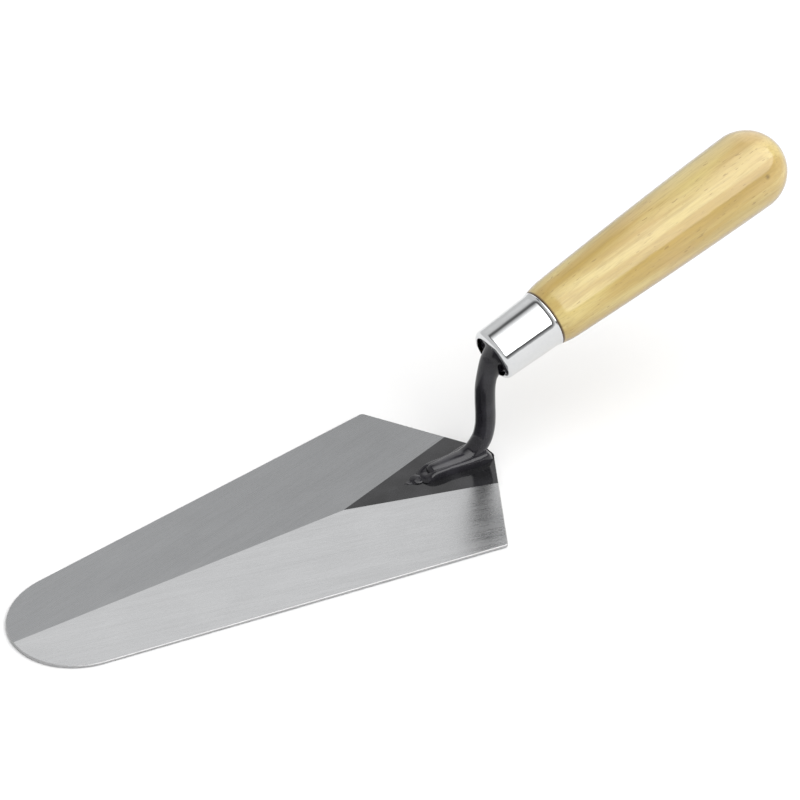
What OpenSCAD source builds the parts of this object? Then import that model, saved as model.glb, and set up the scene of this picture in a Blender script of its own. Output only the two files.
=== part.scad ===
// Round-nosed brick trowel: a taper-ground blade, a forged goose-neck shank
// welded to it, a drawn ferrule and a turned wooden handle driven onto the tang.
//
// The blade lies flat on its underside. The origin is on that underside, half
// way along the blade. +X runs from the nose to the handle and +Z is up.

/* [Blade] */
// Length from the nose to the point of the heel
blade_length = 180; // [120:1:260]
// Width across the shoulders, the widest place
blade_width = 88.5; // [60:0.5:130]
// Radius of the round nose
nose_radius = 23.3; // [12:0.1:30]
// How far the shoulders lie ahead of the heel's point
heel_setback = 25.4; // [12:0.1:45]
// Thickness at the shoulders, where the edge is thickest
edge_thickness = 1.1; // [0.8:0.05:1.6]
// Thickness on the spine at the heel
heel_thickness = 1.8; // [1.7:0.05:3]
// Thickness on the spine at the nose
nose_thickness = 1; // [0.8:0.05:1.5]

/* [Shank] */
// Diameter of the round goose neck
rod_diameter = 7; // [5:0.1:9]
// Centre-line radius of the bend below the handle
upper_bend_radius = 6.5; // [6:0.1:12]
// Centre-line radius of the bend above the blade
lower_bend_radius = 10; // [8:0.1:13]
// Lean of the upright run away from the nose, in degrees
neck_lean = 4; // [0:0.5:10]
// Height of the rod's centre above the blade's underside where it enters the foot
rod_seat_height = 3.5; // [3:0.1:4]
// Radius of the foot at its rear
foot_rear_radius = 5.45; // [5:0.05:7]
// Radius of the foot at its toe
foot_toe_radius = 4.6; // [4:0.05:6]
// Height of the foot's top above the blade's underside, at the rear
foot_rear_height = 7.9; // [7.5:0.1:9]
// Height of the foot's top above the blade's underside, at the toe
foot_toe_height = 5.2; // [4:0.1:6]
// Distance between the centres of the foot's rounded ends
foot_length = 16; // [12:0.5:30]
// Thickness of the shoulder that bears on the end of the handle
shoulder_thickness = 2.2; // [1.5:0.1:4]
// Clearance around that shoulder in the ferrule's mouth
shoulder_clearance = 0.2; // [0.1:0.05:0.5]
// Diameter of the tang inside the handle
tang_diameter = 6; // [4:0.1:7]
// Length of the tang behind the shoulder
tang_length = 70; // [40:1:85]

/* [Welds] */
// How far the weld runs out beside the foot's rear
weld_heel_run = 3.3; // [2:0.1:5]
// How far the weld runs out around the foot's toe
weld_toe_run = 1; // [0.5:0.1:3]
// Half width of the weld's end behind the neck
weld_end_half_width = 1.5; // [1:0.1:3]
// Slope of the weld's sides, in degrees
weld_side_slope = 27; // [20:1:35]
// Slope of the weld behind the neck, in degrees
weld_heel_slope = 55; // [40:1:65]
// Radius of the spot that the toe bead covers
toe_bead_radius = 3.7; // [2:0.1:6]
// Height of the toe bead
toe_bead_height = 1.3; // [0.8:0.1:2]
// How far the toe bead laps onto the weld around the foot
toe_bead_lap = 1.2; // [0.5:0.1:1.8]

/* [Ferrule] */
// Length of the ferrule
ferrule_length = 22.8; // [15:0.1:35]
// Outer diameter at the mouth, where the neck goes in
ferrule_mouth_diameter = 18.6; // [17.5:0.1:22]
// Outer diameter where it meets the wood
ferrule_rear_diameter = 20; // [18.6:0.1:24]
// Wall thickness
ferrule_wall = 0.8; // [0.5:0.05:1]
// Radius of the rolled edge around the mouth
ferrule_lip_radius = 1.9; // [1.4:0.1:2.4]
// How far the rolled edge turns in past the inside of the wall
ferrule_lip_turn = 1.1; // [0.5:0.05:1.5]
// How far the flared rear rim stands out
ferrule_flare = 0.4; // [0:0.05:0.6]
// Length of the flared rear rim
ferrule_flare_length = 1.1; // [0.8:0.1:3]

/* [Handle] */
// Rise of the handle towards its butt, in degrees
handle_tilt = 19.6; // [10:0.1:30]
// Height of the ferrule's mouth above the blade's underside
mouth_height = 40.9; // [38:0.1:60]
// How far the ferrule's mouth lies ahead of the heel's point
mouth_setback = 2.2; // [-4:0.1:8]
// Length from the ferrule's mouth to the butt
handle_length = 127.3; // [110:0.1:160]
// Diameter of the wood at the swell near the butt, and of its round end
butt_diameter = 28.8; // [25:0.1:36]
// Diameter of the wood behind the ferrule's shoulder curve
waist_diameter = 22.8; // [22:0.1:25]
// Diameter of the wood where it meets the ferrule's rim
wood_front_diameter = 20.7; // [20.6:0.1:21.5]
// Radius of the curve from the ferrule up to the waist
wood_shoulder_radius = 25; // [20:0.5:40]
// Empty depth of the bore behind the tang's end
bore_relief = 3; // [1:0.5:8]

/* [Hidden] */
$fn = 96;

// The whole part lies within this distance of the origin, which sizes the cutting blocks.
reach = 2 * (blade_length + handle_length);

// Places along X
heel_x = blade_length / 2;
shoulder_x = heel_x - heel_setback;
nose_x = -blade_length / 2;
nose_centre_x = nose_x + nose_radius;

// The two top facets meet on the spine: each falls from the spine to the edge.
spine_rise = (heel_thickness - nose_thickness) / blade_length;
function spine_height(x) = nose_thickness + spine_rise * (x - nose_x);
function facet_height(p) = spine_height(p[0]) - facet_fall * abs(p[1]);
facet_fall = (spine_height(shoulder_x) - edge_thickness) / (blade_width / 2);
facet_roll = asin(facet_fall / norm([spine_rise, facet_fall, 1]));
facet_pitch = atan(spine_rise);

// The long edges run from the shoulders to where they touch the nose's circle.
edge_run = shoulder_x - nose_centre_x;
nose_touch_angle = atan2(blade_width / 2, edge_run)
    + acos(nose_radius / norm([edge_run, blade_width / 2]));
nose_touch = [
    nose_centre_x + nose_radius * cos(nose_touch_angle),
    nose_radius * sin(nose_touch_angle)
];

// The goose neck's centre line lies in the XZ plane; places on it are [x, z].
mouth = [heel_x - mouth_setback, mouth_height];
handle_way = [cos(handle_tilt), sin(handle_tilt)];
shoulder_inset = ferrule_lip_radius / 2;
upper_bend_inset = shoulder_inset + shoulder_thickness / 4;
upper_bend_start = mouth + upper_bend_inset * handle_way;
upper_bend_centre = upper_bend_start + upper_bend_radius * [sin(handle_tilt), -cos(handle_tilt)];
neck_side = [cos(neck_lean), sin(neck_lean)];
neck_top = upper_bend_centre - upper_bend_radius * neck_side;

// The foot's axis falls towards its toe, and the lower bend ends along it.
foot_drop = (foot_rear_height - foot_rear_radius) - (foot_toe_height - foot_toe_radius);
foot_pitch = asin(foot_drop / foot_length);
neck_length = (neck_top[1] - rod_seat_height
    - lower_bend_radius * (sin(neck_lean) + cos(foot_pitch))) / cos(neck_lean);
neck_bottom = neck_top + neck_length * [sin(neck_lean), -cos(neck_lean)];
lower_bend_centre = neck_bottom - lower_bend_radius * neck_side;
rod_end = lower_bend_centre + lower_bend_radius * [sin(foot_pitch), -cos(foot_pitch)];

// The foot's rear end lies this far behind the place where the rod ends inside it.
foot_lap = rod_diameter / 2;
foot_rear = [rod_end[0] + foot_lap, foot_rear_height - foot_rear_radius];
foot_toe = foot_rear - foot_length * [cos(foot_pitch), sin(foot_pitch)];

// The weld's outline on the blade starts flush with the rear edges, narrows along the
// foot and goes round the toe as half of an octagon.
function rear_edge_x(y) = heel_x - heel_setback * y / (blade_width / 2);
weld_heel_half_width = foot_rear_radius + weld_heel_run;
weld_toe_half_width = foot_toe_radius + weld_toe_run;
octagon_side = weld_toe_half_width * tan(180 / 8);
weld_half_outline = [
    [rear_edge_x(weld_end_half_width), weld_end_half_width],
    [rear_edge_x(weld_heel_half_width), weld_heel_half_width],
    [foot_toe[0] - octagon_side, weld_toe_half_width],
    [foot_toe[0] - weld_toe_half_width, octagon_side]
];
weld_corners = len(weld_half_outline);
weld_outline = concat(
    weld_half_outline,
    [for (i = [weld_corners - 1:-1:0]) [weld_half_outline[i][0], -weld_half_outline[i][1]]]
);
// The first edge and the last two lie behind the neck; the others run round the foot.
function weld_slope(edge) =
    edge == 0 || edge >= 2 * weld_corners - 2 ? weld_heel_slope : weld_side_slope;
toe_bead_x = foot_toe[0] - weld_toe_half_width - toe_bead_radius + toe_bead_lap;
toe_bead_sphere = (toe_bead_radius ^ 2 + toe_bead_height ^ 2) / (2 * toe_bead_height);

// Along the handle's axis, measured from the ferrule's mouth
spigot_start = shoulder_inset + shoulder_thickness;
butt_radius = butt_diameter / 2;
butt_centre = handle_length - butt_radius;
wood_shoulder_end = ferrule_length + sqrt(wood_shoulder_radius ^ 2
    - (wood_shoulder_radius - (waist_diameter - wood_front_diameter) / 2) ^ 2);

function ferrule_radius(t) = (ferrule_mouth_diameter
    + (ferrule_rear_diameter - ferrule_mouth_diameter) * t / ferrule_length) / 2;

ferrule_front_radius = ferrule_radius(ferrule_lip_radius);
ferrule_hole_radius = ferrule_front_radius - ferrule_wall - ferrule_lip_turn;
shoulder_radius = ferrule_hole_radius - shoulder_clearance;

// The grip's cone aims at the ball's widest circle and ends just inside the ball.
grip_slope = atan((butt_radius - waist_diameter / 2) / (butt_centre - wood_shoulder_end));
grip_end = butt_centre - butt_radius * tan(grip_slope);
grip_end_radius = butt_radius - (butt_centre - grip_end) * tan(grip_slope);

module facet_cut(side) {
    translate([nose_x, 0, nose_thickness])
        rotate([-side * facet_roll, -facet_pitch, 0])
            translate([-reach, -reach, 0])
                cube([2 * reach, 2 * reach, reach]);
}

// Everything below the blade's two top facets, with no outline
module below_facets() {
    difference() {
        translate([-reach, -reach, -reach]) cube([2 * reach, 2 * reach, 2 * reach]);
        for (side = [-1, 1]) facet_cut(side);
    }
}

module blade_outline(height) {
    linear_extrude(height)
        polygon([
            [heel_x, 0],
            [shoulder_x, blade_width / 2],
            nose_touch,
            [nose_touch[0], -nose_touch[1]],
            [shoulder_x, -blade_width / 2]
        ]);
    translate([nose_centre_x, 0, 0]) cylinder(r = nose_radius, h = height);
}

module blade() {
    color([0.72, 0.73, 0.74])
        difference() {
            blade_outline(heel_thickness);
            for (side = [-1, 1]) facet_cut(side);
        }
}

// Places its children on the handle's axis, with +Z towards the butt
module on_handle_axis(t = 0) {
    translate([mouth[0], 0, mouth[1]])
        rotate([0, 90 - handle_tilt, 0])
            translate([0, 0, t])
                children();
}

// A bent length of round rod in the XZ plane, swept clockwise from a start angle
module rod_bend(radius, start, sweep) {
    rotate([90, 0, 0])
        rotate([0, 0, start])
            rotate_extrude(angle = -sweep)
                translate([radius, 0])
                    circle(d = rod_diameter);
}

// The goose neck stands on the lower end of its upright run, with a bend at each end.
module neck() {
    translate([neck_bottom[0], 0, neck_bottom[1]])
        rotate([0, -neck_lean, 0]) {
            cylinder(d = rod_diameter, h = neck_length);
            translate([upper_bend_radius, 0, neck_length])
                rod_bend(upper_bend_radius, 180, 90 - handle_tilt + neck_lean);
            translate([-lower_bend_radius, 0, 0])
                rod_bend(lower_bend_radius, 0, 90 - foot_pitch + neck_lean);
        }
}

// A round bar lying along the spine, thinner towards its toe, with round ends
module foot() {
    bar_turn = asin((foot_rear_radius - foot_toe_radius) / foot_length);
    translate([foot_rear[0], 0, foot_rear[1]]) {
        sphere(r = foot_rear_radius);
        rotate([0, -90 - foot_pitch, 0])
            translate([0, 0, foot_rear_radius * sin(bar_turn)])
                cylinder(
                    r1 = foot_rear_radius * cos(bar_turn),
                    r2 = foot_toe_radius * cos(bar_turn),
                    h = foot_length - (foot_rear_radius - foot_toe_radius) * sin(bar_turn)
                );
    }
    translate([foot_toe[0], 0, foot_toe[1]]) sphere(r = foot_toe_radius);
}

module foot_and_neck() {
    neck();
    foot();
}

module shank() {
    color([0.09, 0.09, 0.1]) {
        difference() {
            foot_and_neck();
            below_facets();
        }
        on_handle_axis(shoulder_inset) cylinder(r = shoulder_radius, h = shoulder_thickness);
        on_handle_axis(spigot_start) cylinder(d = tang_diameter, h = tang_length);
    }
}

// A bank over the weld's outline, with a sloping face along each of its edges
module weld_bank() {
    count = len(weld_outline);
    difference() {
        linear_extrude(foot_rear_height) polygon(weld_outline);
        for (i = [0:count - 1]) {
            from = weld_outline[i];
            to = weld_outline[(i + 1) % count];
            way = to - from;
            translate([from[0], from[1], min(facet_height(from), facet_height(to))])
                rotate([0, 0, atan2(way[1], way[0])])
                    rotate([weld_slope(i), 0, 0])
                        translate([-reach, -reach, 0])
                            cube([2 * reach, 2 * reach, reach]);
        }
    }
}

module weld_fillet() {
    color([0.1, 0.1, 0.11])
        difference() {
            weld_bank();
            foot_and_neck();
            below_facets();
        }
}

// A short bead of weld on the spine that laps onto the weld around the toe
module toe_weld() {
    color([0.1, 0.1, 0.11])
        difference() {
            translate([toe_bead_x, 0, spine_height(toe_bead_x) + toe_bead_height - toe_bead_sphere])
                sphere(r = toe_bead_sphere);
            weld_bank();
            foot();
            below_facets();
        }
}

// The inside of the ferrule, which the end of the handle fills
module ferrule_bore() {
    inner_lip = ferrule_lip_radius - ferrule_wall;
    front_radius = ferrule_front_radius - ferrule_wall;
    translate([0, 0, ferrule_wall]) cylinder(r = front_radius - inner_lip, h = inner_lip);
    translate([0, 0, ferrule_lip_radius])
        rotate_extrude() translate([front_radius - inner_lip, 0]) circle(r = inner_lip);
    translate([0, 0, ferrule_lip_radius])
        cylinder(
            r1 = front_radius,
            r2 = ferrule_radius(ferrule_length) - ferrule_wall,
            h = ferrule_length - ferrule_lip_radius
        );
}

module ferrule() {
    flare_start = ferrule_length - ferrule_flare_length;
    color([0.86, 0.87, 0.88])
        on_handle_axis()
            difference() {
                union() {
                    cylinder(r = ferrule_front_radius - ferrule_lip_radius, h = ferrule_lip_radius);
                    translate([0, 0, ferrule_lip_radius])
                        rotate_extrude()
                            translate([ferrule_front_radius - ferrule_lip_radius, 0])
                                circle(r = ferrule_lip_radius);
                    translate([0, 0, ferrule_lip_radius])
                        cylinder(
                            r1 = ferrule_front_radius,
                            r2 = ferrule_radius(flare_start),
                            h = flare_start - ferrule_lip_radius
                        );
                    translate([0, 0, flare_start])
                        cylinder(
                            r1 = ferrule_radius(flare_start),
                            r2 = ferrule_radius(ferrule_length) + ferrule_flare,
                            h = ferrule_flare_length
                        );
                }
                ferrule_bore();
                translate([0, 0, -ferrule_wall])
                    cylinder(r = ferrule_hole_radius, h = ferrule_length);
            }
}

// The part of the handle that goes into the ferrule
module spigot() {
    intersection() {
        ferrule_bore();
        translate([0, 0, spigot_start])
            cylinder(d = butt_diameter, h = ferrule_length - spigot_start);
    }
}

// The grip from the ferrule to the butt: a short curve, a long cone and a ball
module grip() {
    translate([0, 0, wood_shoulder_end])
        rotate_extrude()
            intersection() {
                translate([waist_diameter / 2 - wood_shoulder_radius, 0])
                    circle(r = wood_shoulder_radius);
                translate([0, ferrule_length - wood_shoulder_end])
                    square([butt_diameter, wood_shoulder_end - ferrule_length]);
            }
    translate([0, 0, wood_shoulder_end])
        cylinder(
            r1 = waist_diameter / 2,
            r2 = grip_end_radius,
            h = grip_end - wood_shoulder_end
        );
    translate([0, 0, butt_centre]) sphere(r = butt_radius);
}

module handle() {
    color([0.87, 0.75, 0.52])
        on_handle_axis()
            difference() {
                union() {
                    spigot();
                    grip();
                }
                cylinder(d = tang_diameter, h = spigot_start + tang_length + bore_relief);
            }
}

blade();
shank();
weld_fillet();
toe_weld();
ferrule();
handle();
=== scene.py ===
# %% [markdown]
# # A gauging trowel, round nosed, with a turned wooden handle
# The trowel is six pieces that a toolmaker joins: a ground steel blade, a bent
# steel shank, two runs of weld that hold the shank's foot to the blade, a
# chromed ferrule and a lacquered handle. The measured model gives every place
# and size, and this lesson makes the finished surface of each piece over it.

# %% Load the measured frame
import math

import bmesh
import bpy
from mathutils import Matrix, Vector, noise
from mathutils.geometry import interpolate_bezier


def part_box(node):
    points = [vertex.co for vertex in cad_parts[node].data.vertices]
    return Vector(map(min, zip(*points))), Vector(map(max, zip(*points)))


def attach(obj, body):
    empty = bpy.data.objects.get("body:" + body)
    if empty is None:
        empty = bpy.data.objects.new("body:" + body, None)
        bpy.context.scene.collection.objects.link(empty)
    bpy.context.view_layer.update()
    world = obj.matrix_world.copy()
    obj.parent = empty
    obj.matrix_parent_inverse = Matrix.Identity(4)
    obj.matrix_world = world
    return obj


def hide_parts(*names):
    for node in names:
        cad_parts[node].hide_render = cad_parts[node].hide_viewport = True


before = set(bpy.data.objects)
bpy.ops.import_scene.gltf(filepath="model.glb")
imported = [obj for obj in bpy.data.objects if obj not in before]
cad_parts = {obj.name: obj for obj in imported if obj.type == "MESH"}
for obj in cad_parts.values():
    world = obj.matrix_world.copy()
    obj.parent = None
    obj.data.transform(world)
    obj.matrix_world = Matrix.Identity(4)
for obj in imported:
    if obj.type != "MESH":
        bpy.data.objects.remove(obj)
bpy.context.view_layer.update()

# %% [markdown]
# ## Sizes in millimetres
# A workshop drawing is in millimetres and Blender is in metres. Each mesh is
# made in millimetres, so bevels and offsets read like the drawing, and it is
# scaled once when it is finished. The blade lies on the floor with its nose
# towards -X, and the handle rises towards +X.

# %% The drawing's sizes
MM = 0.001
blade_low, blade_high = (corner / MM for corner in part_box("blade"))
NOSE_X, HEEL_X = blade_low.x, blade_high.x
HALF_WIDTH = blade_high.y
HEEL_THICKNESS = blade_high.z
NOSE_THICKNESS = 1.0
EDGE_THICKNESS = 1.1
NOSE_RADIUS = 23.3
SHOULDER_X = HEEL_X - 25.4
MOUTH = Vector((HEEL_X - 2.2, 0, 40.9))
HANDLE_TILT = math.radians(19.6)
ROD_RADIUS = 3.5
print("blade", round(HEEL_X - NOSE_X, 2), "by", round(2 * HALF_WIDTH, 2), "mm")

# %% [markdown]
# ## Helpers for every piece
# One turns a bmesh into a finished object that rides on the trowel's body and
# stands for the plain piece of the measured model. The others join doubled
# points and turn the faces outwards, shade round surfaces smooth, and round off
# edges.

# %% Finish a piece
def finish_piece(name, mesh_in_mm, finishes, stands_for):
    bmesh.ops.scale(mesh_in_mm, vec=(MM, MM, MM), verts=mesh_in_mm.verts)
    mesh = bpy.data.meshes.new(name)
    mesh_in_mm.to_mesh(mesh)
    mesh_in_mm.free()
    for finish in finishes:
        mesh.materials.append(finish)
    piece = bpy.data.objects.new(name, mesh)
    bpy.context.scene.collection.objects.link(piece)
    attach(piece, "root")
    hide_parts(stands_for)
    print(name, len(mesh.polygons), "faces")


def face_outwards(bm):
    bmesh.ops.remove_doubles(bm, verts=bm.verts, dist=1e-4)
    bmesh.ops.recalc_face_normals(bm, faces=bm.faces)


def shade_smooth(bm):
    for face in bm.faces:
        face.smooth = True


def round_edges(bm, edges, width, segments):
    return bmesh.ops.bevel(
        bm, geom=edges, offset=width, offset_type="OFFSET", segments=segments,
        profile=0.5, affect="EDGES", clamp_overlap=True, material=-1,
    )


# %% [markdown]
# ## Camera
# The trowel is seen from its left front, about as high as a person looks down
# at a bench. A long lens from 0.7 m keeps the blade's taper true.

# %% Place the camera
camera_data = bpy.data.cameras.new("camera")
camera_data.sensor_width = 36
camera_data.lens = 96.46
camera = bpy.data.objects.new("camera", camera_data)
camera.location = Vector((-263.6, -479.8, 435.4)) * MM
look_at = Vector((51.7, 0, 37.32)) * MM
camera.rotation_euler = (look_at - camera.location).to_track_quat("-Z", "Y").to_euler()
bpy.context.scene.collection.objects.link(camera)
bpy.context.scene.camera = camera
print("camera", round((look_at - camera.location).length, 3), "m away")

# %% [markdown]
# ## Small words for building materials
# A material is a sum: coordinates go into noise, noise is squeezed into a
# range, and the range mixes colours or moves the roughness. These helpers add
# one node each, so that a finish reads as a short list.

# %% Node helpers
def plug(tree, socket, value):
    if isinstance(value, bpy.types.NodeSocket):
        tree.links.new(value, socket)
    else:
        socket.default_value = value


def add_node(tree, kind, inputs, **settings):
    made = tree.nodes.new(kind)
    for name, value in settings.items():
        setattr(made, name, value)
    for name, value in inputs.items():
        plug(tree, made.inputs[name], value)
    return made


def maths(tree, operation, first, second=0.0, third=0.0):
    inputs = {0: first, 1: second, 2: third}
    return add_node(tree, "ShaderNodeMath", inputs, operation=operation).outputs[0]


def place(tree, turn=(0, 0, 0), stretch=(1, 1, 1)):
    """The piece's own metres, turned and stretched for a pattern."""
    own = add_node(tree, "ShaderNodeTexCoord", {}).outputs["Object"]
    inputs = {"Vector": own, "Rotation": turn}
    turned = add_node(tree, "ShaderNodeMapping", inputs).outputs[0]
    inputs = {"Vector": turned, "Scale": stretch}
    return add_node(tree, "ShaderNodeMapping", inputs).outputs[0]


def grain(tree, vector, detail=2.0, roughness=0.5, warp=0.0):
    inputs = {"Vector": vector, "Scale": 1.0, "Detail": detail,
              "Roughness": roughness, "Distortion": warp}
    return add_node(tree, "ShaderNodeTexNoise", inputs).outputs["Fac"]


def squeeze(tree, value, low, high, to_low=0.0, to_high=1.0, soft=False):
    inputs = {"Value": value, "From Min": low, "From Max": high,
              "To Min": to_low, "To Max": to_high}
    kind = "SMOOTHSTEP" if soft else "LINEAR"
    made = add_node(tree, "ShaderNodeMapRange", inputs, interpolation_type=kind)
    return made.outputs[0]


def mix_colours(tree, share, first, second):
    made = add_node(tree, "ShaderNodeMix", {}, data_type="RGBA")
    plug(tree, made.inputs[0], share)
    plug(tree, made.inputs[6], first)
    plug(tree, made.inputs[7], second)
    return made.outputs[2]


def new_finish(name, **values):
    finish = bpy.data.materials.new(name)
    finish.use_nodes = True
    shader = finish.node_tree.nodes["Principled BSDF"]
    for socket, value in values.items():
        shader.inputs[socket.replace("_", " ")].default_value = value
    print("finish", name)
    return finish.node_tree, shader, finish


def raise_surface(tree, shader, height, depth_mm):
    inputs = {"Height": height, "Distance": depth_mm * MM, "Strength": 1.0}
    bump = add_node(tree, "ShaderNodeBump", inputs)
    tree.links.new(bump.outputs[0], shader.inputs["Normal"])
    tree.links.new(bump.outputs[0], shader.inputs["Coat Normal"])


# %% [markdown]
# ## Ground steel
# The blade's flats are ground on a belt, which leaves fine strokes that lean a
# little outwards from the spine. The far upper flat is painted darker than the
# near one, which is painted shade: the same steel as a lit and a shaded copy.
# The strokes are noise stretched along the belt's way; slow clouds and a few
# specks keep the flat from looking printed. The upper flats are also painted
# brighter towards the nose, which is painted light.

# %% Ground steel
def ground_steel(name, tone, stroke_degrees, roughness, cloud_share, nose_light_gain=1.0):
    tree, shader, finish = new_finish(name, Metallic=1.0)
    turn = (0, 0, math.radians(-stroke_degrees))
    strokes = grain(tree, place(tree, turn, (90, 3200, 900)), 3.0, 0.65)
    long_strokes = grain(tree, place(tree, turn, (28, 900, 300)), 2.0, 0.5)
    clouds = grain(tree, place(tree, turn, (45, 110, 60)), 3.0, 0.55, 0.6)
    speckle = grain(tree, place(tree, turn, (700, 1500, 900)), 2.0, 0.6)
    mottling = maths(tree, "MULTIPLY_ADD", strokes, 0.4,
                     maths(tree, "MULTIPLY_ADD", long_strokes, 0.3,
                           maths(tree, "MULTIPLY", speckle, 0.3)))
    fine = squeeze(tree, mottling, 0.35, 0.65, 0.90, 1.08)
    slow = squeeze(tree, clouds, 0.3, 0.7, 1.0 - cloud_share, 1.0 + cloud_share)
    own = add_node(tree, "ShaderNodeTexCoord", {}).outputs["Object"]
    along = add_node(tree, "ShaderNodeSeparateXYZ", {0: own}).outputs["X"]
    # Painted light: the flat's colour is raised from the shoulders towards the nose.
    nose_light = squeeze(tree, along, SHOULDER_X * MM, NOSE_X * MM, 1.0, nose_light_gain)
    level = maths(tree, "MULTIPLY", maths(tree, "MULTIPLY", fine, slow), nose_light)
    colour = add_node(tree, "ShaderNodeVectorMath",
                      {0: tone, "Scale": level}, operation="SCALE").outputs[0]
    tree.links.new(colour, shader.inputs["Base Color"])
    haze = squeeze(tree, mottling, 0.35, 0.65, roughness - 0.04, roughness + 0.06)
    tree.links.new(haze, shader.inputs["Roughness"])
    raise_surface(tree, shader, strokes, 0.004)
    return finish


# Painted shade: the far flat's tone is about half the near flat's, a lit and a shaded copy of
# the same steel.
lit_near_flat = ground_steel("ground_steel_near_lit", (0.362, 0.365, 0.37), -14, 0.27, 0.03, 1.11)
shaded_far_flat = ground_steel("ground_steel_far_shaded", (0.19, 0.193, 0.197), 14, 0.27, 0.03, 1.27)
under_flat = ground_steel("ground_steel_under", (0.45, 0.454, 0.46), 6, 0.26, 0.05)
rim_steel = ground_steel("ground_steel_rim", (0.42, 0.42, 0.424), 60, 0.42, 0.05)

# %% [markdown]
# ## Black lacquer
# Before the flats are ground, the whole forging is dipped in black stoving
# lacquer. It dries to a hard gloss with a faint orange peel, and where it runs
# thin, in patches that fall at random, it lets a little more light back.

# %% Black lacquer
def black_lacquer(name, body_colour, gloss, roughness, peel_mm):
    tree, shader, finish = new_finish(name, Specular_IOR_Level=gloss)
    peel = grain(tree, place(tree, stretch=(520, 520, 520)), 2.0, 0.45)
    dust = grain(tree, place(tree, stretch=(2600, 2600, 2600)), 3.0, 0.6)
    slow = grain(tree, place(tree, stretch=(120, 120, 120)), 2.0, 0.5)
    lighter = tuple(min(1.0, part * 2.2 + 0.004) for part in body_colour[:3]) + (1.0,)
    thin = squeeze(tree, maths(tree, "MULTIPLY_ADD", dust, 0.5,
                               maths(tree, "MULTIPLY", slow, 0.5)), 0.42, 0.62)
    tree.links.new(mix_colours(tree, thin, body_colour, lighter),
                   shader.inputs["Base Color"])
    haze = squeeze(tree, slow, 0.3, 0.7, roughness - 0.03, roughness + 0.05)
    tree.links.new(haze, shader.inputs["Roughness"])
    raise_surface(tree, shader, maths(tree, "MULTIPLY_ADD", dust, 0.08, peel), peel_mm)
    return finish


bar_lacquer = black_lacquer("black_lacquer_bar", (0.0085, 0.008, 0.0105, 1), 0.4, 0.17, 0.03)
flat_lacquer = black_lacquer("black_lacquer_flat", (0.008, 0.008, 0.009, 1), 0.26, 0.07, 0.006)

# %% [markdown]
# ## The blade
# A blade is blanked from plate, then its top is ground to two long flats that
# fall from a spine to the edges. The outline starts as one point on the nose
# that is spun round the nose's centre; the heel's corners are joined to it and
# the sheet is thickened. Two slanting cuts then make the flats, which is what
# the grinding belt does. The heel's point is nipped off square.

# %% Blank the blade
SPINE_RISE = (HEEL_THICKNESS - NOSE_THICKNESS) / (HEEL_X - NOSE_X)


def spine_height(x):
    return NOSE_THICKNESS + SPINE_RISE * (x - NOSE_X)


FACET_FALL = (spine_height(SHOULDER_X) - EDGE_THICKNESS) / HALF_WIDTH
NOSE_CENTRE_X = NOSE_X + NOSE_RADIUS
EDGE_RUN = SHOULDER_X - NOSE_CENTRE_X
HEEL_FLAT_X = HEEL_X - 1.2
NOSE_STEPS = 48


def blank_blade():
    bm = bmesh.new()
    reach = math.hypot(EDGE_RUN, HALF_WIDTH)
    touch = math.atan2(HALF_WIDTH, EDGE_RUN) + math.acos(NOSE_RADIUS / reach)
    start = bm.verts.new((NOSE_CENTRE_X + NOSE_RADIUS * math.cos(touch),
                          NOSE_RADIUS * math.sin(touch), 0))
    spun = bmesh.ops.spin(
        bm, geom=[start], cent=(NOSE_CENTRE_X, 0, 0), axis=(0, 0, 1),
        angle=2 * (math.pi - touch), steps=NOSE_STEPS, use_duplicate=False,
    )
    end = next(item for item in spun["geom_last"] if isinstance(item, bmesh.types.BMVert))
    corners = [end, bm.verts.new((SHOULDER_X, -HALF_WIDTH, 0)),
               bm.verts.new((HEEL_X, 0, 0)), bm.verts.new((SHOULDER_X, HALF_WIDTH, 0)),
               start]
    for one, other in zip(corners, corners[1:]):
        bm.edges.new((one, other))
    sheet = bmesh.ops.contextual_create(bm, geom=bm.edges)["faces"]
    made = bmesh.ops.extrude_face_region(bm, geom=sheet)
    raised = [item for item in made["geom"] if isinstance(item, bmesh.types.BMVert)]
    bmesh.ops.translate(bm, vec=(0, 0, 2 * HEEL_THICKNESS), verts=raised)
    face_outwards(bm)
    return bm


def saw(bm, point, outwards):
    """Cuts the solid by a plane, throws the outer part away and closes the cut."""
    everything = bm.verts[:] + bm.edges[:] + bm.faces[:]
    cut = bmesh.ops.bisect_plane(
        bm, geom=everything, plane_co=point, plane_no=outwards, dist=1e-5,
        clear_outer=True,
    )
    edges = [item for item in cut["geom_cut"] if isinstance(item, bmesh.types.BMEdge)]
    bmesh.ops.contextual_create(bm, geom=edges)


blade_mesh = blank_blade()
for side in (-1, 1):
    saw(blade_mesh, (NOSE_X, 0, NOSE_THICKNESS), (-SPINE_RISE, side * FACET_FALL, 1))
saw(blade_mesh, (HEEL_FLAT_X, 0, 0), (1, 0, 0))
face_outwards(blade_mesh)
print("blade blank", len(blade_mesh.faces), "faces")

# %% [markdown]
# A fresh blade's corners are eased so that they don't cut the hand: the two
# heel corners a little, the top rim less and the bottom rim least. The spine
# stays crisp, because two flats ground to meet leave a real line.

# %% Ease the corners
CORNER_EASE = 0.9
TOP_EASE = 0.28
BOTTOM_EASE = 0.16


def upright(edge):
    one, other = edge.verts
    return (one.co - other.co).to_2d().length < 1e-3


def on_rim(edge, high):
    faces = edge.link_faces
    if len(faces) != 2:
        return False
    walls = [face for face in faces if abs(face.normal.z) < 0.5]
    flats = [face for face in faces if abs(face.normal.z) > 0.9]
    return len(walls) == 1 and len(flats) == 1 and (flats[0].normal.z > 0) == high


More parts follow.
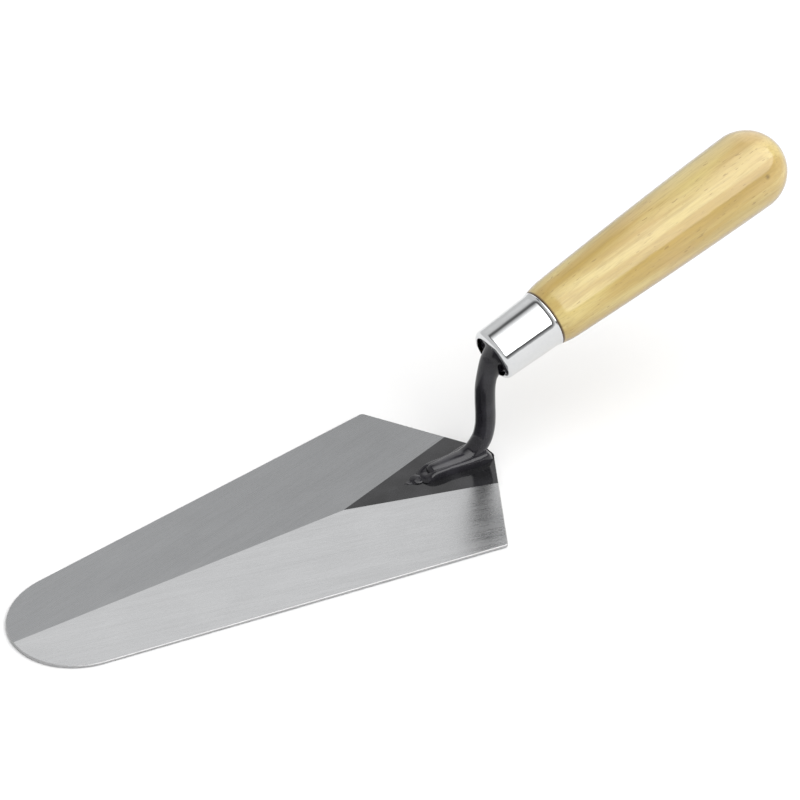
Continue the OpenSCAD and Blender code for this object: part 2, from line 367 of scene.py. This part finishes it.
heel_corners = [edge for edge in blade_mesh.edges
                if upright(edge) and edge.verts[0].co.x > SHOULDER_X - 1]
round_edges(blade_mesh, heel_corners, CORNER_EASE, 5)
blade_mesh.normal_update()
round_edges(blade_mesh, [e for e in blade_mesh.edges if on_rim(e, True)], TOP_EASE, 3)
blade_mesh.normal_update()
round_edges(blade_mesh, [e for e in blade_mesh.edges if on_rim(e, False)], BOTTOM_EASE, 2)
face_outwards(blade_mesh)
print("eased blade", len(blade_mesh.faces), "faces")

# %% [markdown]
# The belt doesn't reach the middle of the heel, where the shank stands. That
# three-cornered patch keeps its lacquer. Two upright cuts through the top flats
# and the rim draw its border, and each flat gets its own finish.

# %% Mark out the lacquered patch
PATCH_TIP = Vector((29.4, 0, 0))
PATCH_CORNER = Vector((80.85, 15.9, 0))


def patch_way(side):
    along = Vector((PATCH_CORNER.x - PATCH_TIP.x, side * PATCH_CORNER.y, 0))
    return Vector((-along.y, along.x, 0)) * side


for side in (-1, 1):
    half = [face for face in blade_mesh.faces
            if face.normal.z > -0.5 and side * face.calc_center_median().y > 0.5]
    edges = {edge for face in half for edge in face.edges}
    verts = {vert for face in half for vert in face.verts}
    bmesh.ops.bisect_plane(blade_mesh, geom=list(verts) + list(edges) + half,
                           plane_co=PATCH_TIP, plane_no=patch_way(side), dist=1e-5)

NEAR, FAR, UNDER, RIM, PATCH = range(5)
for face in blade_mesh.faces:
    middle = face.calc_center_median()
    side = 1 if middle.y > 0 else -1
    big = face.calc_area() > 12
    face.smooth = not big
    if face.normal.z < -0.5:
        face.material_index = UNDER if big else RIM
    elif (middle - PATCH_TIP).dot(patch_way(side)) < 0:
        face.material_index = PATCH
    elif face.normal.z > 0.99 and big:
        face.material_index = FAR if side > 0 else NEAR
    else:
        face.material_index = RIM

finish_piece(
    "blade_ground", blade_mesh,
    [lit_near_flat, shaded_far_flat, under_flat, rim_steel, flat_lacquer], "blade",
)

# %% [markdown]
# ## The shank
# One length of 7 mm rod is drawn down to a tang, upset to a shoulder that
# closes the ferrule's mouth, and bent twice into a goose neck. Its end is
# forged to a tapering foot that lies along the blade. It is one ring of
# vertices that is extruded from station to station: each station has a place,
# a way and a width, as a smith's sketch has.

# %% Stations along the rod
HANDLE_WAY = Vector((math.cos(HANDLE_TILT), 0, math.sin(HANDLE_TILT)))
SHOULDER_FRONT, SHOULDER_BACK = 0.95, 3.15
SHOULDER_DISC = 7.26
TANG_RADIUS = 3.0
TANG_END = SHOULDER_BACK + 70
RING_SIDES = 40


def on_handle(distance):
    return MOUTH + HANDLE_WAY * distance


def above(way):
    """The upper side of a rod that goes this way in the XZ plane."""
    return Vector((way.z, 0, -way.x))


def smooth_path(points, steps):
    """Places on a smooth line that passes through every point."""
    knots = [Vector((x, 0, z)) for x, z in (points[0],) + points + (points[-1],)]
    places = []
    for before, start, end, after in zip(knots, knots[1:], knots[2:], knots[3:]):
        places += interpolate_bezier(start, start + (end - before) / 6,
                                     end - (after - start) / 6, end, steps + 1)[:-1]
    return places + [knots[-1]]


def ease(value):
    value = min(max(value, 0.0), 1.0)
    return value * value * (3 - 2 * value)


def station(middle, way, radius, up=None, down=None):
    """A round section, or one whose upper and lower halves are raised or sunk."""
    return middle, way, radius, up or radius, down or radius


DISC_EASE = 0.4
SECTIONS = [station(on_handle(place_along), -HANDLE_WAY, radius) for place_along, radius in (
    (TANG_END, TANG_RADIUS - 0.6),
    (TANG_END - 0.6, TANG_RADIUS),
    (SHOULDER_BACK, TANG_RADIUS),
    (SHOULDER_BACK, SHOULDER_DISC - DISC_EASE),
    (SHOULDER_BACK - DISC_EASE, SHOULDER_DISC),
    (SHOULDER_FRONT + DISC_EASE, SHOULDER_DISC),
    (SHOULDER_FRONT, SHOULDER_DISC - DISC_EASE),
    (SHOULDER_FRONT, ROD_RADIUS + 0.7),
)]
print(len(SECTIONS), "sections of tang and shoulder")

# %% [markdown]
# The neck's line is a list of places, not a design. Most of them were measured
# by a separate program and then rounded, so they don't follow the drawing's
# sizes. A smooth line runs through them: it leaves the mouth downwards, bows a
# little backwards and sweeps into the foot. The rod flares where it enters the
# ferrule's mouth. From the lower bend the hammer flattens it, and the foot tapers
# in width and height to its blunt toe. Its underside sits a little inside the
# blade, where the weld has melted both.

# %% Neck and foot
NECK_LINE = ((88.3, 40.1), (87.6, 38.3), (86.5, 34.4), (85.85, 29.8), (85.95, 23.9),
             (86.3, 18.0), (86.15, 13.5), (84.95, 8.9), (81.6, 5.0), (78.0, 3.5),
             (75.5, 3.22))
PATH_STEPS = 4
FOOT_SOLE = 0.8
FOOT_MIDDLE = 3.2
TOP_LOSS = 0.28
FLARE = 2.3
neck = smooth_path(NECK_LINE, PATH_STEPS)
for before, spot, after in zip(neck, neck[1:], neck[2:]):
    hammered = TOP_LOSS * ease((86 - spot.x) / 9) * ease((16 - spot.z) / 10)
    flare = FLARE * ease((spot.z - 33) / 6.5)
    SECTIONS.append(station(spot, (after - before).normalized(), ROD_RADIUS + flare / 4,
                            ROD_RADIUS - hammered, ROD_RADIUS + flare))
FOOT = ((74.0, 3.35, 6.42), (71.0, 3.05, 6.15), (68.0, 2.75, 5.95), (65.6, 2.55, 5.8),
        (64.4, 2.35, 5.58), (63.6, 2.05, 5.2), (63.1, 1.6, 4.7), (62.85, 0.9, 4.1))
for x, half, top in FOOT:
    SECTIONS.append(station(Vector((x, 0, FOOT_MIDDLE)), Vector((-1, 0, 0)), half,
                            top - FOOT_MIDDLE, 2.4))


def grow_rod(sections):
    bm = bmesh.new()
    turn_of = bm.verts.layers.float.new("turn")
    made = bmesh.ops.create_circle(bm, cap_ends=True, radius=1, segments=RING_SIDES)
    ring = made["verts"]
    for vert in ring:
        vert[turn_of] = math.atan2(vert.co.y, vert.co.x)
    for number, (middle, way, half, up, down) in enumerate(sections):
        if number:
            edges = [edge for edge in bm.edges if len(edge.link_faces) == 1]
            grown = bmesh.ops.extrude_edge_only(bm, edges=edges)["geom"]
            ring = [item for item in grown if isinstance(item, bmesh.types.BMVert)]
        for vert in ring:
            turn = vert[turn_of]
            lift = math.sin(turn) * (up if math.sin(turn) > 0 else down)
            vert.co = middle + above(way) * lift + Vector((0, half * math.cos(turn), 0))
    bmesh.ops.contextual_create(
        bm, geom=[edge for edge in bm.edges if len(edge.link_faces) == 1])
    return bm


shank_mesh = grow_rod(SECTIONS)
for vert in shank_mesh.verts:
    vert.co.z = max(vert.co.z, FOOT_SOLE)
face_outwards(shank_mesh)
shade_smooth(shank_mesh)
finish_piece("shank_lacquered", shank_mesh, [bar_lacquer], "shank")

# %% [markdown]
# ## The weld round the foot
# The welder lays a fat bead on both sides of the foot and round its toe. It
# stands nearly as high as the rod's middle, with a rounded shoulder and a steep
# side, and it is wider at the heel where the load is. It is a ring drawn on the
# blade and extruded up and inwards; a little noise keeps it hand made.

# %% Weld round the foot
WELD_TOE_X, WELD_HEEL_X = 59.4, HEEL_FLAT_X - 0.15
WELD_SQUARENESS = 4.0
WELD_SIDES = 96
LUMP = 0.16
HALF_WIDTH, WIDER_AT_HEEL, WIDER_AT_TOE = 3.75, 1.55, 0.8
CROWN, CROWN_RISE, FALL_AT_TOE, FALL_AT_HEEL = 4.75, 0.6, 2.0, 2.9
SHOULDER, SHOULDER_GROWTH = 1.05, 0.6
GROWTH_X = 70


def weld_half_width(x):
    at_heel = WIDER_AT_HEEL * ease((x - GROWTH_X) / 13)
    return HALF_WIDTH + at_heel + WIDER_AT_TOE * ease((64.5 - x) / 4)


def weld_height(x):
    crown = CROWN + CROWN_RISE * ease((x - 72) / 10)
    return crown - FALL_AT_TOE * ease((65 - x) / 5.5) - FALL_AT_HEEL * ease((x - 84.3) / 4.2)


def weld_shoulder(x):
    return SHOULDER + SHOULDER_GROWTH * ease((x - GROWTH_X) / 10)


def squared(value, power):
    return math.copysign(abs(value) ** (2 / power), value)


def weld_rings():
    """How far each ring is inside the outline, and its height from plate to crown."""
    yield 0.0, -1.0, 0.0
    yield 0.0, 0.3, 0.0
    for degrees in range(0, 91, 15):
        turn = math.radians(degrees)
        yield 1 - math.cos(turn), math.sin(turn), 1.0
    yield 2.0, 1.06, 1.0
    yield 2.7, 0.6, 1.0


def lay_weld():
    bm = bmesh.new()
    turn_of = bm.verts.layers.float.new("turn")
    ring = bmesh.ops.create_circle(bm, cap_ends=True, radius=1, segments=WELD_SIDES)["verts"]
    for vert in ring:
        vert[turn_of] = math.atan2(vert.co.y, vert.co.x)
    middle = (WELD_TOE_X + WELD_HEEL_X) / 2
    half_length = (WELD_HEEL_X - WELD_TOE_X) / 2
    for number, (inset, height, on_shoulder) in enumerate(weld_rings()):
        if number:
            edges = [edge for edge in bm.edges if len(edge.link_faces) == 1]
            grown = bmesh.ops.extrude_edge_only(bm, edges=edges)["geom"]
            ring = [item for item in grown if isinstance(item, bmesh.types.BMVert)]
        for vert in ring:
            round_x = squared(math.cos(vert[turn_of]), WELD_SQUARENESS)
            round_y = squared(math.sin(vert[turn_of]), WELD_SQUARENESS)
            x = middle + half_length * round_x
            shoulder = weld_shoulder(x)
            inwards = inset * (shoulder if on_shoulder else 1)
            x = min(middle + (half_length - inwards) * round_x, HEEL_FLAT_X - 0.05)
            y = (weld_half_width(x) - inwards) * round_y
            plate = spine_height(x) - FACET_FALL * abs(y)
            z = plate + height
            if on_shoulder:
                z = max(weld_height(x) - shoulder + shoulder * height, plate)
            vert.co = Vector((x, y, z))
    bmesh.ops.contextual_create(
        bm, geom=[edge for edge in bm.edges if len(edge.link_faces) == 1])
    return bm


def make_lumpy(bm, floor_height, size, amount):
    for vert in bm.verts:
        if vert.co.z > floor_height:
            push = noise.noise_vector(vert.co / size) * amount
            vert.co += Vector((push.x, push.y, push.z))
            vert.co.x = min(vert.co.x, HEEL_FLAT_X - 0.03)


weld_mesh = lay_weld()
make_lumpy(weld_mesh, 2.0, 2.6, LUMP)
face_outwards(weld_mesh)
shade_smooth(weld_mesh)
finish_piece("weld_round_foot", weld_mesh, [bar_lacquer], "weld_fillet")

# %% [markdown]
# ## The bead at the toe
# The welder ends the run by dragging the last of the metal down the spine, so a
# low pointed bead lies in front of the toe. It starts as a ball that is
# flattened, drawn to a point and cut off level inside the blade.

# %% Bead at the toe
BEAD_MIDDLE = Vector((58.0, 0.5, 1.5))
BEAD_SIZE = Vector((4.4, 2.7, 1.5))

bead_mesh = bmesh.new()
bmesh.ops.create_uvsphere(bead_mesh, u_segments=48, v_segments=24, radius=1)
for vert in bead_mesh.verts:
    drawn = 0.3 + 0.7 * ease((vert.co.x + 1.1) / 1.5)
    vert.co = Vector((vert.co.x, vert.co.y * drawn, vert.co.z * drawn))
bmesh.ops.scale(bead_mesh, vec=BEAD_SIZE, verts=bead_mesh.verts)
bmesh.ops.translate(bead_mesh, vec=BEAD_MIDDLE, verts=bead_mesh.verts)
make_lumpy(bead_mesh, 1.8, 1.8, 0.3)
saw(bead_mesh, (0, 0, FOOT_SOLE), (0, 0, -1))
face_outwards(bead_mesh)
shade_smooth(bead_mesh)
finish_piece("weld_bead_at_toe", bead_mesh, [bar_lacquer], "toe_weld")

# %% [markdown]
# ## Turned parts
# The ferrule and the handle are turned on one axis. Half of the section is
# drawn like a pen line: straight to a corner, or round an arc. The line is then
# spun once round the axis and moved to where the handle is.

# %% Pen and lathe
class Pen:
    """Draws half a section: along is the distance on the axis, out the radius."""

    def __init__(self, along, out):
        self.bm = bmesh.new()
        self.first = self.last = self.bm.verts.new((out, 0, along))

    def line(self, along, out):
        fresh = self.bm.verts.new((out, 0, along))
        self.bm.edges.new((self.last, fresh))
        self.last = fresh
        return self

    def arc(self, along, out, degrees, steps):
        spun = bmesh.ops.spin(
            self.bm, geom=[self.last], cent=(out, 0, along), axis=(0, 1, 0),
            angle=-math.radians(degrees), steps=steps, use_duplicate=False,
        )
        self.last = next(item for item in spun["geom_last"]
                         if isinstance(item, bmesh.types.BMVert))
        return self

    def bow(self, along, out, rise, steps):
        """A slightly swollen line, drawn as an arc about a far centre."""
        start = Vector((self.last.co.z, self.last.co.x))
        chord = Vector((along, out)) - start
        radius = chord.length ** 2 / (8 * rise) + rise / 2
        inwards = Vector((chord.y, -chord.x)).normalized()
        centre = start + chord / 2 + inwards * (radius - rise)
        degrees = 2 * math.degrees(math.asin(chord.length / 2 / radius))
        return self.arc(centre.x, centre.y, degrees, steps)

    def close(self):
        self.bm.edges.new((self.last, self.first))
        return self

    def turn(self, steps):
        bm = self.bm
        bmesh.ops.spin(bm, geom=bm.verts[:] + bm.edges[:], cent=(0, 0, 0), axis=(0, 0, 1),
                       angle=2 * math.pi, steps=steps, use_merge=True)
        face_outwards(bm)
        return bm


def ring_edges(bm, along, out):
    """The edges of the ring that a corner of the section became."""
    return [edge for edge in bm.edges
            if all(abs(vert.co.z - along) < 0.02
                   and abs(vert.co.to_2d().length - out) < 0.02 for vert in edge.verts)]


def mount_on_handle_axis(bm):
    turn = Matrix.Rotation(math.pi / 2 - HANDLE_TILT, 4, "Y")
    bmesh.ops.transform(bm, matrix=Matrix.Translation(MOUTH) @ turn, verts=bm.verts)


# %% [markdown]
# ## Chrome plate
# Bright chrome is a nearly clean mirror, so its look is the studio's. The
# pressed steel under it is not quite even, which makes the edges of reflections
# waver. The inside is given a near-black dull plate, which is painted shade in
# the ferrule's mouth.

# %% Chrome
tree, shader, chrome = new_finish("chrome_plate", Metallic=1.0)
ripple = grain(tree, place(tree, stretch=(150, 150, 150)), 2.0, 0.5)
polish = grain(tree, place(tree, stretch=(900, 900, 900)), 3.0, 0.6)
tree.links.new(mix_colours(tree, polish, (0.63, 0.64, 0.65, 1), (0.71, 0.715, 0.72, 1)),
               shader.inputs["Base Color"])
tree.links.new(squeeze(tree, polish, 0.3, 0.7, 0.03, 0.075), shader.inputs["Roughness"])
raise_surface(tree, shader, ripple, 0.05)

# Painted shade: this near-black plate stands for the shade inside the ferrule's mouth.
tree, shader, shaded_inside_plate = new_finish("chrome_plate_inside_shaded", Metallic=1.0)
inside_mottle = grain(tree, place(tree, stretch=(400, 400, 400)), 3.0, 0.6)
tree.links.new(mix_colours(tree, inside_mottle, (0.012, 0.012, 0.013, 1), (0.03, 0.03, 0.03, 1)),
               shader.inputs["Base Color"])
tree.links.new(squeeze(tree, inside_mottle, 0.3, 0.7, 0.35, 0.55), shader.inputs["Roughness"])
raise_surface(tree, shader, inside_mottle, 0.02)

# %% [markdown]
# ## The ferrule
# A tube is pressed over the handle's end so that the wood can't split. Its
# mouth is rolled in, its rear edge is belled out a little over the wood, and it
# is chrome plated. The pen draws round the outside and back along the inside.

# %% Ferrule
FERRULE_LENGTH = 22.8
LIP_RADIUS = 1.9
WALL = 0.8
FRONT_RADIUS = 9.358
HOLE_RADIUS = FRONT_RADIUS - LIP_RADIUS
REAR_RADIUS = 10.0
BELL_START, BELL_OUT = 21.5, 0.38
BELL_START_SHARE = 0.94
BELL_START_RADIUS = FRONT_RADIUS + (REAR_RADIUS - FRONT_RADIUS) * BELL_START_SHARE
BELL_ROUNDING, LIP_ROUNDING = 0.75, 0.2

pen = Pen(0, HOLE_RADIUS)
pen.arc(LIP_RADIUS, HOLE_RADIUS, 90, 12)
pen.line(BELL_START, BELL_START_RADIUS)
pen.line(FERRULE_LENGTH - 0.12, REAR_RADIUS + BELL_OUT)
pen.line(FERRULE_LENGTH, REAR_RADIUS + BELL_OUT - 0.08)
pen.line(FERRULE_LENGTH, REAR_RADIUS - WALL + 0.1)
pen.line(FERRULE_LENGTH - 1, REAR_RADIUS - WALL)
pen.line(LIP_RADIUS, FRONT_RADIUS - WALL)
pen.arc(LIP_RADIUS, HOLE_RADIUS, -90, 6)
pen.close()
ferrule_mesh = pen.turn(128)
bell_edges = ring_edges(ferrule_mesh, BELL_START, BELL_START_RADIUS)
round_edges(ferrule_mesh, bell_edges, BELL_ROUNDING, 6)
round_edges(ferrule_mesh, ring_edges(ferrule_mesh, 0, HOLE_RADIUS), LIP_ROUNDING, 3)
for face in ferrule_mesh.faces:
    face.smooth = True
    middle = face.calc_center_median()
    # Faces inside the tube take the near-black inside plate, which is painted shade.
    inside = face.normal.dot(Vector((middle.x, middle.y, 0))) < 0 and middle.z > WALL - 0.05
    face.material_index = 1 if inside else 0
mount_on_handle_axis(ferrule_mesh)
finish_piece("ferrule_chromed", ferrule_mesh, [chrome, shaded_inside_plate], "ferrule")

# %% [markdown]
# ## Lacquered beech
# The handle is pale beech or ramin under a clear coat. Three things make the
# wood: broad soft bands that run along the grain, thin darker pores, and short
# brown flecks where a ray is cut through. All are noise in coordinates that are
# turned so that X runs along the handle. A small knot near the butt and a dark
# line behind the ferrule are placed by distance; that line is painted shade in
# the groove at the seam. The wood is also painted darker where it turns away
# from the view, which is painted shade at the handle's outline. The coat on top
# gives the long soft light that follows the turning.

# %% Wood
tree, shader, wood = new_finish("varnished_wood", Coat_Weight=0.8, Coat_Roughness=0.09,
                                Coat_IOR=1.5, Roughness=0.55, Specular_IOR_Level=0.3)
grain_turn = (0, HANDLE_TILT, 0)
KNOT = Vector((192.1, -13.4, 83.6))
broad = grain(tree, place(tree, grain_turn, (9, 130, 130)), 3.0, 0.55, 0.5)
growth = grain(tree, place(tree, grain_turn, (16, 480, 480)), 2.0, 0.5, 0.3)
pores = grain(tree, place(tree, grain_turn, (130, 1700, 1700)), 4.0, 0.7)
flecks = grain(tree, place(tree, grain_turn, (300, 1300, 1300)), 1.0, 0.4)
blush = grain(tree, place(tree, grain_turn, (40, 60, 60)), 2.0, 0.5)
colour = mix_colours(tree, squeeze(tree, broad, 0.38, 0.62, soft=True),
                     (0.52, 0.415, 0.16, 1), (0.405, 0.285, 0.084, 1))
colour = mix_colours(tree, squeeze(tree, blush, 0.45, 0.75, 0, 0.4), colour,
                     (0.5, 0.345, 0.163, 1))
colour = mix_colours(tree, squeeze(tree, growth, 0.5, 0.7, 0, 0.35, soft=True), colour,
                     (0.315, 0.215, 0.06, 1))
colour = mix_colours(tree, squeeze(tree, pores, 0.46, 0.7, 0, 0.42), colour,
                     (0.29, 0.205, 0.075, 1))
colour = mix_colours(tree, squeeze(tree, flecks, 0.7, 0.75, 0, 0.5), colour,
                     (0.2, 0.125, 0.045, 1))
# Painted shade: the wood is darkened where its surface turns away from the view.
painted_edge_shade = add_node(tree, "ShaderNodeLayerWeight", {"Blend": 0.5}).outputs["Facing"]
colour = mix_colours(tree, squeeze(tree, painted_edge_shade, 0.62, 1.0, 0, 0.75), colour,
                     (0.13, 0.11, 0.085, 1))
own = add_node(tree, "ShaderNodeTexCoord", {}).outputs["Object"]
along = add_node(tree, "ShaderNodeVectorMath",
                 {0: own, 1: tuple(HANDLE_WAY)}, operation="DOT_PRODUCT").outputs["Value"]
seam_at = (MOUTH.dot(HANDLE_WAY) + FERRULE_LENGTH) * MM
# Painted shade: a dark line on the wood in the groove just behind the ferrule.
colour = mix_colours(tree, squeeze(tree, along, seam_at + 0.0005, seam_at + 0.0009, 0.85, 0),
                     colour, (0.075, 0.04, 0.02, 1))
knot_at = add_node(tree, "ShaderNodeVectorMath", {0: own, 1: tuple(KNOT * MM)},
                   operation="DISTANCE").outputs["Value"]
colour = mix_colours(tree, squeeze(tree, knot_at, 0.0002, 0.0012, 0.55, 0), colour,
                     (0.06, 0.035, 0.015, 1))
tree.links.new(colour, shader.inputs["Base Color"])
height = maths(tree, "MULTIPLY_ADD", pores, 0.5, broad)
raise_surface(tree, shader, height, 0.02)

# %% [markdown]
# ## The handle
# A spigot fills the ferrule, the grip swells gently from the waist to the butt,
# and the butt is a full ball. The tang's hole runs up the middle. The pen
# starts at the bottom of that hole and ends at the butt.

# %% Handle
HANDLE_LENGTH = 127.3
BUTT_RADIUS = 14.4
BUTT_CENTRE = HANDLE_LENGTH - BUTT_RADIUS
WAIST_RADIUS = 11.4
WAIST = 29.97
WOOD_FRONT_RADIUS = 10.35
SEAM_WIDTH, SEAM_DEPTH = 0.35, 0.9
GRIP_SLOPE = math.degrees(math.atan((BUTT_RADIUS - WAIST_RADIUS) / (BUTT_CENTRE - WAIST)))
GRIP_END = BUTT_CENTRE - BUTT_RADIUS * math.sin(math.radians(GRIP_SLOPE))
GRIP_END_RADIUS = BUTT_RADIUS * math.cos(math.radians(GRIP_SLOPE))
HOLE_END = TANG_END + 3

pen = Pen(HOLE_END, 0)
pen.line(HOLE_END, TANG_RADIUS)
pen.line(SHOULDER_BACK, TANG_RADIUS)
pen.line(SHOULDER_BACK, FRONT_RADIUS - WALL - 0.05)
pen.line(FERRULE_LENGTH + 0.02, REAR_RADIUS - WALL)
pen.line(FERRULE_LENGTH + 0.02, WOOD_FRONT_RADIUS - SEAM_DEPTH)
pen.line(FERRULE_LENGTH + SEAM_WIDTH, WOOD_FRONT_RADIUS - SEAM_DEPTH)
pen.line(FERRULE_LENGTH + SEAM_WIDTH, WOOD_FRONT_RADIUS - 0.15)
pen.line(FERRULE_LENGTH + SEAM_WIDTH + 0.15, WOOD_FRONT_RADIUS)
pen.bow(WAIST, WAIST_RADIUS, 0.22, 10)
pen.bow(GRIP_END, GRIP_END_RADIUS, 0.38, 40)
pen.arc(BUTT_CENTRE, 0, 90 + GRIP_SLOPE, 28)
handle_mesh = pen.turn(144)
shade_smooth(handle_mesh)
round_edges(handle_mesh, ring_edges(handle_mesh, SHOULDER_BACK, TANG_RADIUS), 0.2, 2)
mount_on_handle_axis(handle_mesh)
finish_piece("handle_turned", handle_mesh, [wood], "handle")

# %% [markdown]
# ## Studio
# The bench is a plain white sheet. One broad softbox stands over the handle's
# end and bends down in front, and a smaller white card stands high behind the
# trowel; the rest of the room is an even pale grey. The softbox's dark frame
# draws the thin lines that make chrome read as chrome. It is drawn into the
# sky, because nothing stands near enough to need a real one.

# %% White sheet
sheet_mesh = bmesh.new()
bmesh.ops.create_circle(sheet_mesh, cap_ends=True, radius=6, segments=64)
mesh = bpy.data.meshes.new("white_sheet")
sheet_mesh.to_mesh(mesh)
sheet_mesh.free()
sheet = bpy.data.objects.new("white_sheet", mesh)
sheet.location.z = -0.0002
bpy.context.scene.collection.objects.link(sheet)
tree, shader, paper = new_finish("white_paper", Roughness=0.9, Specular_IOR_Level=0.1)
fibre = grain(tree, place(tree, stretch=(30, 30, 30)), 2.0, 0.5)
tree.links.new(mix_colours(tree, fibre, (0.7, 0.7, 0.7, 1), (0.72, 0.72, 0.72, 1)),
               shader.inputs["Base Color"])
mesh.materials.append(paper)

# %% Softbox and room
ROOM_LIGHT = 0.76
SOFTBOX_LIGHT = 3.9
FRAME_LIGHT = 0.15
SOFTBOX_BACK, SOFTBOX_FRONT = math.radians(28.6), math.radians(-79)
SOFTBOX_NOSE_SIDE, SOFTBOX_BUTT_SIDE = 0.04, 0.95
FRAME_WIDTH = 0.12
FRAME_FADE = 0.18
BACK_FADE = 1.0
CORNER = 0.26
CARD_LIGHT = 1.5
CARD_WAY = Vector((0.588, 0.579, 0.564)).normalized()
CARD_COSINES = (0.8, 0.93)

world = bpy.data.worlds.new("studio")
bpy.context.scene.world = world
world.use_nodes = True
sky = world.node_tree
background = sky.nodes["Background"]
towards = add_node(sky, "ShaderNodeTexCoord", {}).outputs["Generated"]


def part_along(axis):
    inputs = {0: towards, 1: axis}
    return add_node(sky, "ShaderNodeVectorMath", inputs,
                    operation="DOT_PRODUCT").outputs["Value"]


along = part_along(tuple(HANDLE_WAY))
swing = maths(sky, "ARCTAN2", part_along((0, 1, 0)),
              part_along((-math.sin(HANDLE_TILT), 0, math.cos(HANDLE_TILT))))


def beyond(value, low, high):
    """How far a value is outside the middle of a range, less the round corner."""
    middle, half = (low + high) / 2, (high - low) / 2
    away = maths(sky, "ABSOLUTE", maths(sky, "SUBTRACT", value, middle))
    return maths(sky, "SUBTRACT", away, half - CORNER)


beyond_swing = beyond(swing, SOFTBOX_FRONT, SOFTBOX_BACK)
beyond_along = beyond(along, SOFTBOX_NOSE_SIDE, SOFTBOX_BUTT_SIDE)
outside = add_node(sky, "ShaderNodeCombineXYZ", {
    0: maths(sky, "MAXIMUM", beyond_swing, 0.0),
    1: maths(sky, "MAXIMUM", beyond_along, 0.0)}).outputs[0]
rounded = add_node(sky, "ShaderNodeVectorMath", {0: outside}, operation="LENGTH")
nearest = maths(sky, "MINIMUM", maths(sky, "MAXIMUM", beyond_swing, beyond_along), 0.0)
distance = maths(sky, "SUBTRACT", maths(sky, "ADD", rounded.outputs["Value"], nearest), CORNER)
lit = squeeze(sky, swing, SOFTBOX_BACK - BACK_FADE, SOFTBOX_BACK, SOFTBOX_LIGHT, FRAME_LIGHT)
on_frame = squeeze(sky, distance, -0.02, 0.02)
cloth = add_node(sky, "ShaderNodeMix", {0: on_frame, 2: lit, 3: FRAME_LIGHT}).outputs[0]
room = squeeze(sky, distance, FRAME_WIDTH, FRAME_WIDTH + FRAME_FADE)
brightness = add_node(sky, "ShaderNodeMix", {0: room, 2: cloth, 3: ROOM_LIGHT})
card = squeeze(sky, part_along(tuple(CARD_WAY)), *CARD_COSINES, soft=True)
strength = add_node(sky, "ShaderNodeMix", {0: card, 2: brightness.outputs[0], 3: CARD_LIGHT})
sky.links.new(strength.outputs[0], background.inputs["Strength"])
background.inputs["Color"].default_value = (1, 1, 1, 1)
world.cycles.sampling_method = "MANUAL"
world.cycles.sample_map_resolution = 1024
bpy.context.scene.view_settings.view_transform = "Standard"
print("softbox", SOFTBOX_LIGHT, "room", ROOM_LIGHT)
